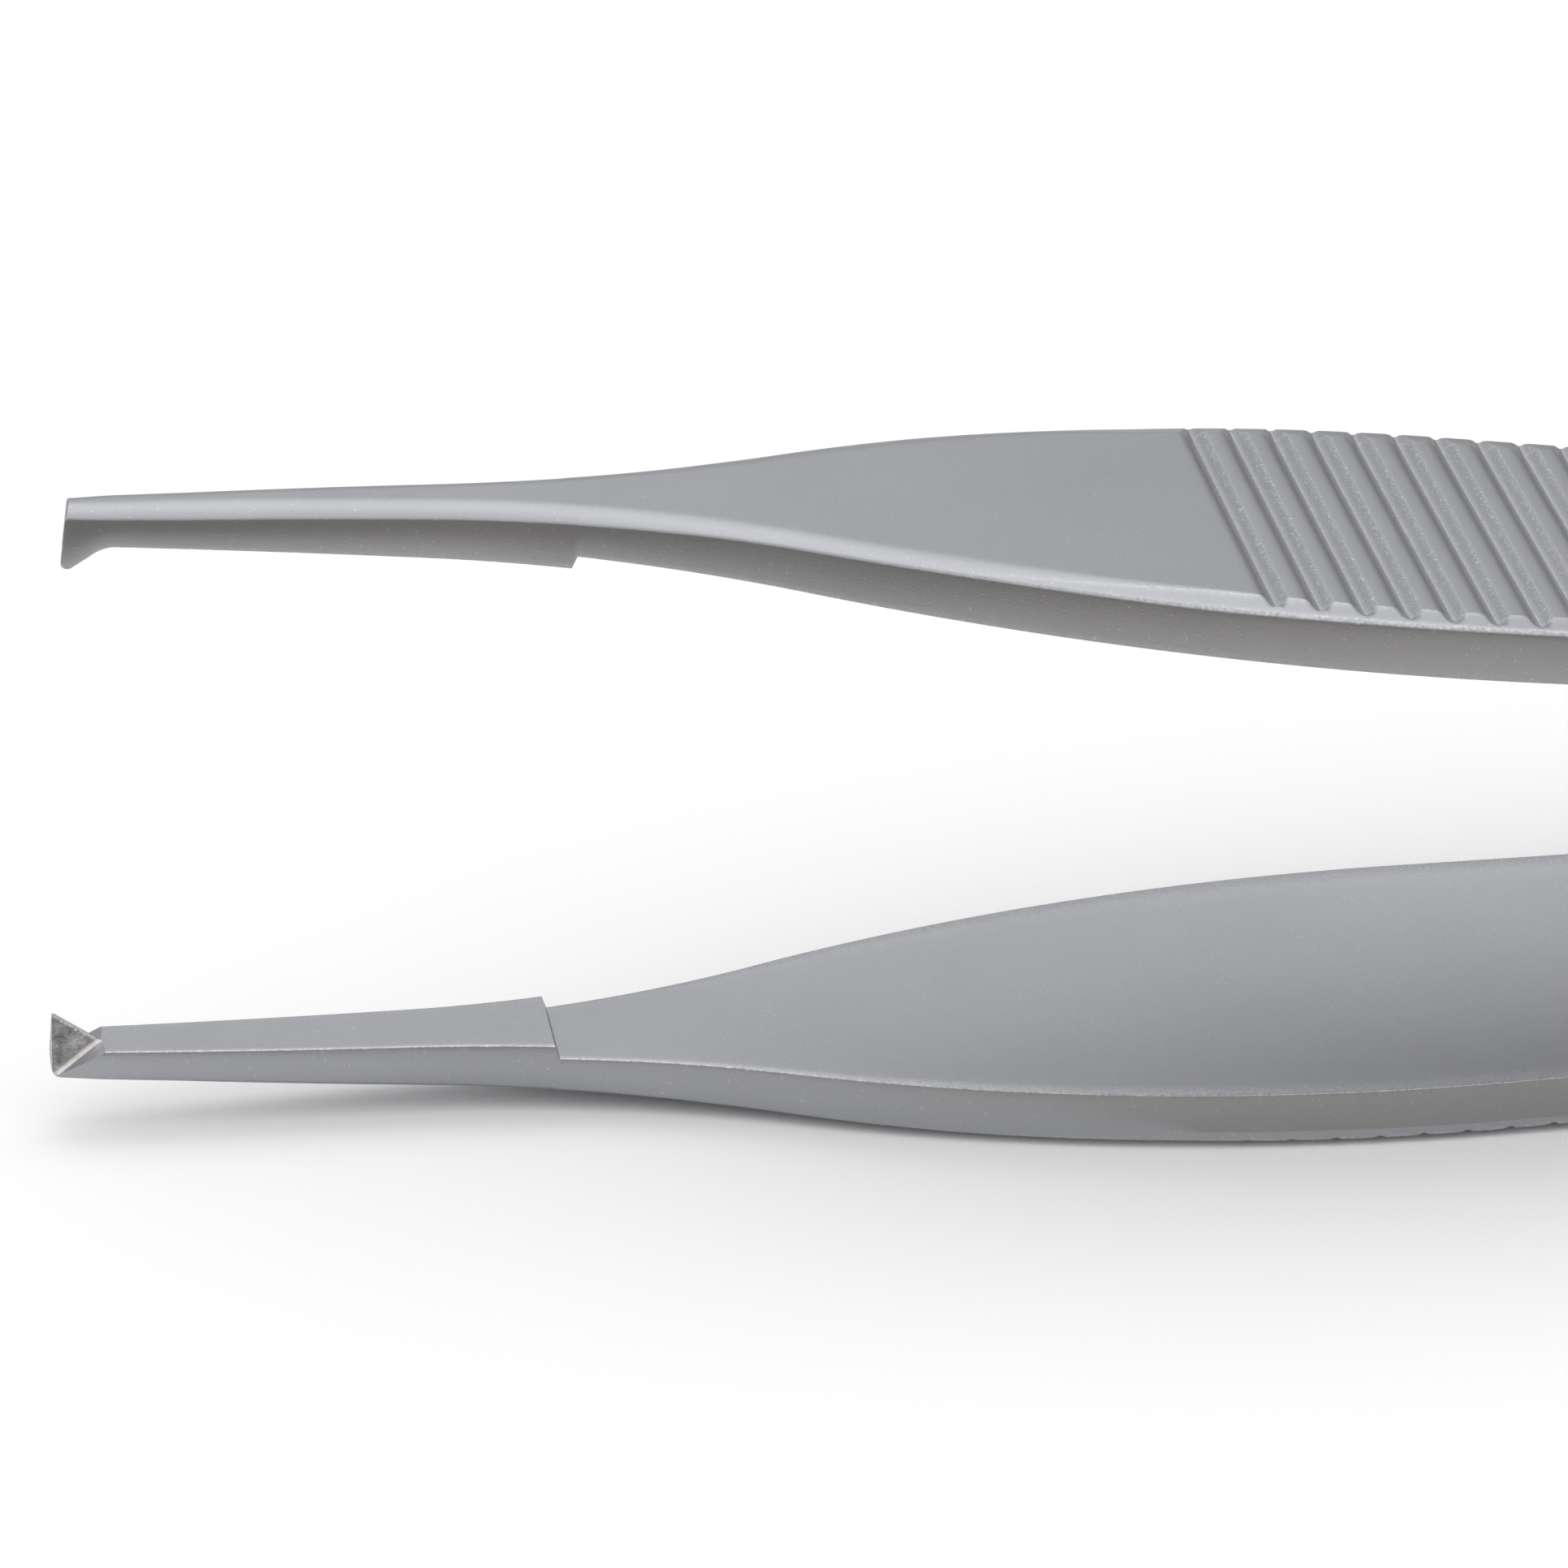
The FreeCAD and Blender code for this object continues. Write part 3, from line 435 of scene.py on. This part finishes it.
def armGrid(tooth):
    # Half of the arm as a grid: stations along x, and round each section from the middle of
    # the outer face over the rim and the side to the middle of the inner face. The rim and
    # the side are arcs and a line: each point is the outline, moved inwards by the sum of
    # radius times the change in cosine, and the outer face, moved down by the sum of radius
    # times the change in sine. Round the tail the section is carried along a quarter turn.
    x = armStations(tooth)
    half = halfWidth(x)
    corner, end = arm["tailCorner"], arm["length"]
    turn = np.linspace(0, math.pi / 2, points["tail"])
    flat = np.linspace(1, 0, 5)[1:]
    spineRound = 1.2
    tailHalf = halfWidth(np.array([end - corner]))[0]
    placeX = np.concatenate([x, end - corner + corner * np.sin(turn), np.full(len(flat), end)])
    placeY = np.concatenate([half, tailHalf - corner + corner * np.cos(turn),
                             (tailHalf - corner) * flat])
    normalX = np.concatenate([np.zeros(len(x)), np.sin(turn), np.ones(len(flat))])
    normalY = np.concatenate([np.ones(len(x)), np.cos(turn), np.zeros(len(flat))])
    spineX = np.concatenate([x, end - corner + spineRound * np.sin(turn),
                             np.full(len(flat), end - corner + spineRound)])
    column = [np.interp(placeX, rim["station"], rim[name])[:, None]
              for name in ("crown", "crownEnd", "bevel", "edge", "sideTop", "sideFoot")]
    crown, crownEnd, bevel, edge, sideTop, sideFoot = column
    crownEnd, sideTop, sideFoot = (np.radians(v) for v in (crownEnd, sideTop, sideFoot))
    foot = rim["foot"]
    high = outerHeight(placeX, tooth)[:, None]
    low = innerHeight(placeX, tooth)[:, None]
    room = np.concatenate([half, np.full(len(turn) + len(flat), tailHalf)])[:, None]
    edgeIn = edge * (np.cos(sideTop) - np.cos(crownEnd))
    widest = 0.97 * room - 0.1 - edgeIn - bevel * np.sin(crownEnd)  # leaves a strip flat
    crown = np.minimum(crown, widest / np.cos(crownEnd))
    topDrop = (crown * (1 - np.sin(crownEnd)) + bevel * np.cos(crownEnd)
               + edge * (np.sin(crownEnd) - np.sin(sideTop)))
    bulge = (high - low - topDrop - foot * (1 - np.sin(sideFoot))) / (
        np.sin(sideTop) + np.sin(sideFoot))
    # each stretch of the rim: how far in from the outline, how far down from the outer face
    t = np.linspace(0, 1, points["crown"])[None]
    a = math.pi / 2 + (crownEnd - math.pi / 2) * t
    sideIn = bulge * (1 - np.cos(sideTop))
    crownIn = sideIn + edgeIn + bevel * np.sin(crownEnd) + crown * (np.cos(crownEnd) - np.cos(a))
    crownDown = crown * (1 - np.sin(a))
    t = np.linspace(0, 1, points["bevel"] + 1)[None, 1:]
    bevelIn = crownIn[:, -1:] - bevel * np.sin(crownEnd) * t
    bevelDown = crownDown[:, -1:] + bevel * np.cos(crownEnd) * t
    t = np.linspace(0, 1, points["edge"] + 1)[None, 1:]
    a = crownEnd + (sideTop - crownEnd) * t
    edgeInward = sideIn + edge * (np.cos(sideTop) - np.cos(a))
    edgeDown = bevelDown[:, -1:] + edge * (np.sin(crownEnd) - np.sin(a))
    t = np.linspace(0, 1, points["side"] + 1)[None, 1:]
    a = sideTop + (-sideFoot - sideTop) * t
    sideInward = bulge * (1 - np.cos(a))
    sideDown = edgeDown[:, -1:] + bulge * (np.sin(sideTop) - np.sin(a))
    t = np.linspace(0, 1, points["foot"] + 1)[None, 1:]
    a = -sideFoot + (-math.pi / 2 + sideFoot) * t
    footInward = sideInward[:, -1:] + foot * (np.cos(sideFoot) - np.cos(a))
    footDown = sideDown[:, -1:] + foot * (-np.sin(sideFoot) - np.sin(a))
    inward = np.hstack([crownIn, bevelIn, edgeInward, sideInward, footInward])
    down = np.hstack([crownDown, bevelDown, edgeDown, sideDown, footDown])
    gridX = placeX[:, None] - normalX[:, None] * inward
    gridY = placeY[:, None] - normalY[:, None] * inward
    gridZ = high - down
    # the faces inside the rim, drawn from the spine out to the first and the last rim point
    steps = np.linspace(0, 1, points["flat"] + 1)[None]
    spread = 1 - (1 - steps[:, :-1]) ** 1.5       # closer together towards the rim
    topX = spineX[:, None] + (gridX[:, :1] - spineX[:, None]) * spread
    back = 1 - steps[:, 1:]
    lowX = spineX[:, None] + (gridX[:, -1:] - spineX[:, None]) * back
    gridX = np.hstack([topX, gridX, lowX])
    depth, start, full, fading, finish = rim["hollow"]
    fade = np.clip((placeX - start) / (full - start), 0, 1) * np.clip(
        (finish - placeX) / (finish - fading), 0, 1)
    hollow = low + depth * fade[:, None] * (1 - back ** 2)
    gridZ = np.hstack([np.repeat(high, points["flat"], 1), gridZ, hollow])
    gridY = np.hstack([gridY[:, :1] * spread, gridY, gridY[:, -1:] * back])
    return gridX, gridY, gridZ


def cutGrooves(x, y, z, tooth):
    # Lowers the outer face to the floor of the saw cuts. The cut's depth is read from its
    # profile along the pitch; near the side at -y the cut rises as a quarter of an ellipse.
    # The middle of the profile lies 0.045 of a pitch in front of the floor.
    pitch = grooves["pitch"] * math.cos(math.radians(arm["slope"]))
    along = (x - grooves["start"]) / pitch
    index = np.clip(np.round(along + 0.045), 0, grooves["count"] - 1)
    place = along - index
    depth, chatter, burr = (np.interp(place, grooves["along"], grooves[name])
                            for name in ("depth", "chatter", "burr"))
    inset = (np.abs(y) - (halfWidth(x) - grooves["endInset"])) / grooves["endLength"]
    inset = np.where(y < 0, np.clip(inset, 0, 1), 0)
    depth = depth * np.sqrt(1 - inset ** 2)
    floor = outerHeight(x, tooth) - depth
    outerCount = points["flat"] + points["crown"] + points["bevel"] + points["edge"]
    ring = np.arange(z.shape[1])
    outside = ((ring < outerCount) | (ring > z.shape[1] - outerCount))[None]
    cut = outside & (depth > 1e-4) & (z > floor)
    return np.where(cut, floor, z), np.where(cut, chatter, 0), np.where(cut, burr, 0)


def wedge(name, section, along, finish):
    # Closed prism: a section (a loop of points) carried along one straight line. Each side
    # has the number of the finish that it leaves on the steel.
    count = len(section)
    verts = np.vstack([section, section + along])
    mesh = bpy.data.meshes.new(name)
    sides = [(i, (i + 1) % count, count + (i + 1) % count, count + i) for i in range(count)]
    mesh.from_pydata(verts.tolist(), [], sides + [tuple(range(count))[::-1],
                                                  tuple(range(count, 2 * count))])
    mesh.polygons.foreach_set("material_index", list(finish) + [0, 0])
    return mesh


def toRow(verts, lower):
    # From the arm's own frame to the frame of the whole forceps, in metres
    x, y, z = verts[..., 0], verts[..., 1], verts[..., 2]
    if lower:
        y, z = -y, -z
    tilt = math.radians(arm["tilt"])
    row = np.stack([x * math.cos(tilt) + z * math.sin(tilt) + arm["shift"][0], y,
                    -x * math.sin(tilt) + z * math.cos(tilt) + arm["shift"][1]], axis=-1)
    return row / 1000


def flankCutters(tooth):
    # Two saw cuts that leave the single tooth standing between them. Section: two walls
    # that meet in a small round; each cut runs outwards, back towards the tip and upwards,
    # 1.9 times as far as the side of the jaw, to be well clear of it.
    startX, startZ, run, rise = tooth["flank"]
    front, rear = math.radians(tooth["angle"]), math.radians(tooth["rearSlope"])
    radius, reach = tooth["cutRadius"], 4.0
    a = np.linspace(math.pi / 2 + front, math.pi / 2 - rear, 7)
    opening = math.cos((front + rear) / 2)
    arc = np.stack([startX + radius * np.cos(a),
                    startZ - radius / opening + radius * np.sin(a)], 1)
    ends = np.array([[startX + reach * math.cos(rear), startZ - reach * math.sin(rear)],
                     [startX - reach * math.cos(front), startZ - reach * math.sin(front)]])
    loop = np.vstack([arc, ends])
    cutters = []
    for side in (1, -1):
        section = np.stack([loop[:, 0], np.full(len(loop), side * tooth["ridge"]), loop[:, 1]], 1)
        along = np.array([-run, side * (arm["tipHalfWidth"] - tooth["ridge"]), rise]) * 1.9
        cutters.append(wedge("flankCutter", section, along, [1] * (len(arc) - 1) + [2, 0, 0]))
    return cutters


def notchCutters(tooth):
    # One saw cut along the jaw that leaves two teeth, one at each side. Section: two walls
    # with the included angle of the notch, meeting in a small round at the top. The cut
    # starts 1 mm in front of the jaw and is 3.6 mm long.
    height, slope, angle = tooth["notch"]
    fall, half = math.tan(math.radians(slope)), math.radians(angle / 2)
    top, radius, reach = height + fall, 0.05, 4.0
    a = np.linspace(math.pi - half, half, 7)
    arc = np.stack([radius * np.cos(a), top - radius / math.sin(half) + radius * np.sin(a)], 1)
    ends = np.array([[reach * math.sin(half), top - reach * math.cos(half)],
                     [-reach * math.sin(half), top - reach * math.cos(half)]])
    loop = np.vstack([arc, ends])
    section = np.stack([np.full(len(loop), -1.0), loop[:, 0], loop[:, 1]], 1)
    length = 3.6
    return [wedge("notchCutter", section, np.array([length, 0.0, -length * fall]),
                  [0] * len(loop))]


def edgeWearAndHighlight(x, ring):
    # Bell curves round the section, for rubbed edges painted brighter as highlight lines; the
    # two on the outer rim fade in towards the grip
    inner, crisp, crown = (wearAndHighlight[name][0] * np.exp(-((ring - wearAndHighlight[name][1]) / wearAndHighlight[name][2]) ** 2)
                           for name in ("inner", "crisp", "crown"))
    start, length = wearAndHighlight["fadeIn"]
    return inner + np.clip((x - start) / length, 0, 1) * (crisp + crown)


def armMesh(name, tooth, finishes):
    # The whole grid: the half and its mirror image across y, closed by a flat tip. The end
    # face leans back in proportion to height and turns back in proportion to y.
    x, y, z = armGrid(tooth)
    half = x.shape[1]
    x, y, z = (np.hstack([v, sign * v[:, -2:0:-1]]) for v, sign in ((x, 1), (y, -1), (z, 1)))
    z, chatter, burr = cutGrooves(x, y, z, tooth)
    lean, turn = tooth["lean"]
    reach, foot, height, width = arm["endFace"]
    x = x + np.clip(1 - x / reach, 0, 1) * (
        lean * (z - foot) / height + turn * (0.5 + y / width))
    index = np.arange(x.size).reshape(x.shape)
    after = np.roll(index, -1, 1)
    shell = np.stack([index[:-1], index[1:], after[1:], after[:-1]], -1).reshape(-1, 4)
    count = x.shape[1]
    j = np.arange(half - 1)
    tip = np.stack([j, j + 1, (count - j - 1) % count, (count - j) % count], 1)
    mesh = bpy.data.meshes.new(name)
    verts = np.stack([x, y, z], -1).reshape(-1, 3)
    mesh.from_pydata(verts.tolist(), [], shell.tolist() + tip[1:-1].tolist()
                     + [tip[0, :3].tolist(), tip[-1, [0, 1, 3]].tolist()])
    ring = np.arange(count)
    ring = np.minimum(ring, count - ring)
    # the rubbed edges carry a painted highlight along them
    for layer, values in (("chatter", chatter), ("burr", burr), ("rubbedAndPaintedHighlight", edgeWearAndHighlight(x, ring))):
        mesh.attributes.new(layer, "FLOAT", "POINT").data.foreach_set(
            "value", values.astype(np.float32).ravel())
    for finish in finishes:
        mesh.materials.append(finish)
    work = bmesh.new()
    work.from_mesh(mesh)
    bmesh.ops.remove_doubles(work, verts=work.verts, dist=1e-4)
    work.to_mesh(mesh)
    work.free()
    return mesh


def cutTeeth(body, cutters, finishes):
    # Takes the cutters out of the arm and returns what is left; each wall of a cut brings
    # its finish along
    helpers = []
    for number, cutter in enumerate(cutters):
        for finish in (finishes[1], finishes[2], finishes[0]):
            cutter.materials.append(finish)
        work = bmesh.new()
        work.from_mesh(cutter)
        bmesh.ops.recalc_face_normals(work, faces=work.faces)
        work.to_mesh(cutter)
        work.free()
        helper = bpy.data.objects.new(cutter.name, cutter)
        scene.collection.objects.link(helper)
        helpers.append(helper)
        cut = body.modifiers.new("cut%d" % number, "BOOLEAN")
        cut.operation, cut.solver, cut.object = "DIFFERENCE", "MANIFOLD", helper
        cut.material_mode = "TRANSFER"
    ready = body.evaluated_get(bpy.context.evaluated_depsgraph_get())
    final = bpy.data.meshes.new_from_object(ready)
    body.modifiers.clear()
    body.data = final
    for helper in helpers:
        bpy.data.objects.remove(helper)
    return final


def addArm(name, tooth, cutters, lower, node, finishes):
    # Mesh, cuts, place; edges sharper than 28 degrees stay crisp
    body = bpy.data.objects.new(name, armMesh(name, tooth, finishes))
    scene.collection.objects.link(body)
    final = cutTeeth(body, cutters, finishes)
    verts = np.empty(3 * len(final.vertices))
    final.vertices.foreach_get("co", verts)
    final.vertices.foreach_set("co", toRow(verts.reshape(-1, 3), lower).ravel())
    final.polygons.foreach_set("use_smooth", np.ones(len(final.polygons), bool))
    final.set_sharp_from_angle(angle=math.radians(28))
    final.update()
    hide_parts(node)
    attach(body, "root")
    print(name, len(final.polygons), "faces")


blasted = makeSteel("beadBlastedStainlessSteel", steel)
ground = makeGroundSteel("groundStainlessSteel", groundSteel)
burnished = makeGroundSteel("burnishedStainlessSteel", burnishedSteel)
addArm("doubleToothArm", doubleTooth, notchCutters(doubleTooth), False, "double_tooth_arm",
       (blasted, ground, burnished))
addArm("singleToothArm", singleTooth, flankCutters(singleTooth), True, "single_tooth_arm",
       (blasted, ground, burnished))
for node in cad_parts.values():
    for slot in node.material_slots:
        slot.material = blasted
print("arms made")

# Table, backdrop and light

studio = {
    "floorColour": "#fbfbfb",
    "floorHalf": 2.0,
    "sweepStart": 0.6,
    "sweepHeight": 1.2,
    "softboxSize": 0.6,
    "softboxHeight": 0.66,
    "softboxBack": 0.42,
    "softboxPower": 0.8,
    "worldColour": "#ffffff",
    "worldStrength": 1.0,
}

# Grey cards that only the steel sees: they paint darker reflections into it, painted shade in
# the reflections only. Each is a strip of a cone about the upright axis: from and to in degrees
# from +X, radius and height of the lower and of the upper edge, colour. greyCard paints a dim
# room, tableCard a shaded strip of table close by and backCard a dim backdrop; lowCard paints
# dark reflections into the walls of the saw cuts.
cards = {
    "greyCard": ((-165.0, -15.0), (0.075, 0.0005), (0.5, 0.26), "#6e6a63"),
    "tableCard": ((-170.0, -10.0), (0.024, 0.0004), (0.075, 0.0005), "#efece6"),
    "lowCard": ((10.0, 82.0), (0.5, 0.0005), (0.5, 0.14), "#303030"),
    "backCard": ((10.0, 170.0), (0.52, 0.0005), (0.52, 0.2), "#9a9a9a"),
}


def makeMatt(name, colour):
    # Uncoated paper and card: no gloss at all
    material, tree = newMaterial(name)
    shader = addNode(tree, "ShaderNodeBsdfDiffuse", {"Color": toLinear(colour)})
    addNode(tree, "ShaderNodeOutputMaterial", None, {"Surface": shader.outputs["BSDF"]})
    return material


def addCard(name, turns, near, far, colour):
    # The lower and the upper edge are arcs, joined point by point
    around = np.radians(np.linspace(turns[0], turns[1], 49))
    count = len(around)
    verts = np.concatenate([np.stack([r * np.cos(around), r * np.sin(around),
                                      np.full(count, z)], 1) for r, z in (near, far)])
    mesh = bpy.data.meshes.new(name)
    mesh.from_pydata(verts.tolist(), [], [(i, i + 1, i + count + 1, i + count)
                                          for i in range(count - 1)])
    mesh.materials.append(makeMatt(name, colour))
    card = bpy.data.objects.new(name, mesh)
    scene.collection.objects.link(card)
    card.visible_camera = card.visible_diffuse = card.visible_shadow = False


def addSweep(studio):
    # White paper: flat table, a quarter turn up behind it, then upright
    half, start, height = studio["floorHalf"], studio["sweepStart"], studio["sweepHeight"]
    steps = 24
    turns = [math.pi / 2 * i / steps for i in range(steps + 1)]
    radius = height / 2
    line = [(-half, 0.0)] + [(start + radius * math.sin(t), radius * (1 - math.cos(t)))
                             for t in turns] + [(start + radius, height * 1.5)]
    verts = [(x, y, z) for y, z in line for x in (-half, half)]
    faces = [(2 * i, 2 * i + 1, 2 * i + 3, 2 * i + 2) for i in range(len(line) - 1)]
    mesh = bpy.data.meshes.new("paperSweep")
    mesh.from_pydata(verts, [], faces)
    mesh.materials.append(makeMatt("whitePaper", studio["floorColour"]))
    for face in mesh.polygons:
        face.use_smooth = True
    floor = bpy.data.objects.new("paperSweep", mesh)
    scene.collection.objects.link(floor)


def addLight(studio):
    # One round softbox above and behind, pointed at the middle, and an even white room
    box = bpy.data.lights.new("softbox", "AREA")
    box.shape = "DISK"
    box.size = studio["softboxSize"]
    box.energy = studio["softboxPower"]
    lamp = bpy.data.objects.new("softbox", box)
    lamp.location = (0, studio["softboxBack"], studio["softboxHeight"])
    lamp.rotation_euler = Vector(lamp.location).to_track_quat("Z", "Y").to_euler()
    scene.collection.objects.link(lamp)

    world = bpy.data.worlds.new("studioAir")
    world.use_nodes = True
    air = world.node_tree.nodes["Background"]
    air.inputs["Color"].default_value = toLinear(studio["worldColour"])
    air.inputs["Strength"].default_value = studio["worldStrength"]
    scene.world = world


addSweep(studio)
for name, card in cards.items():
    addCard(name, *card)
addLight(studio)
scene.view_settings.view_transform = "Standard"
print("studio lit")
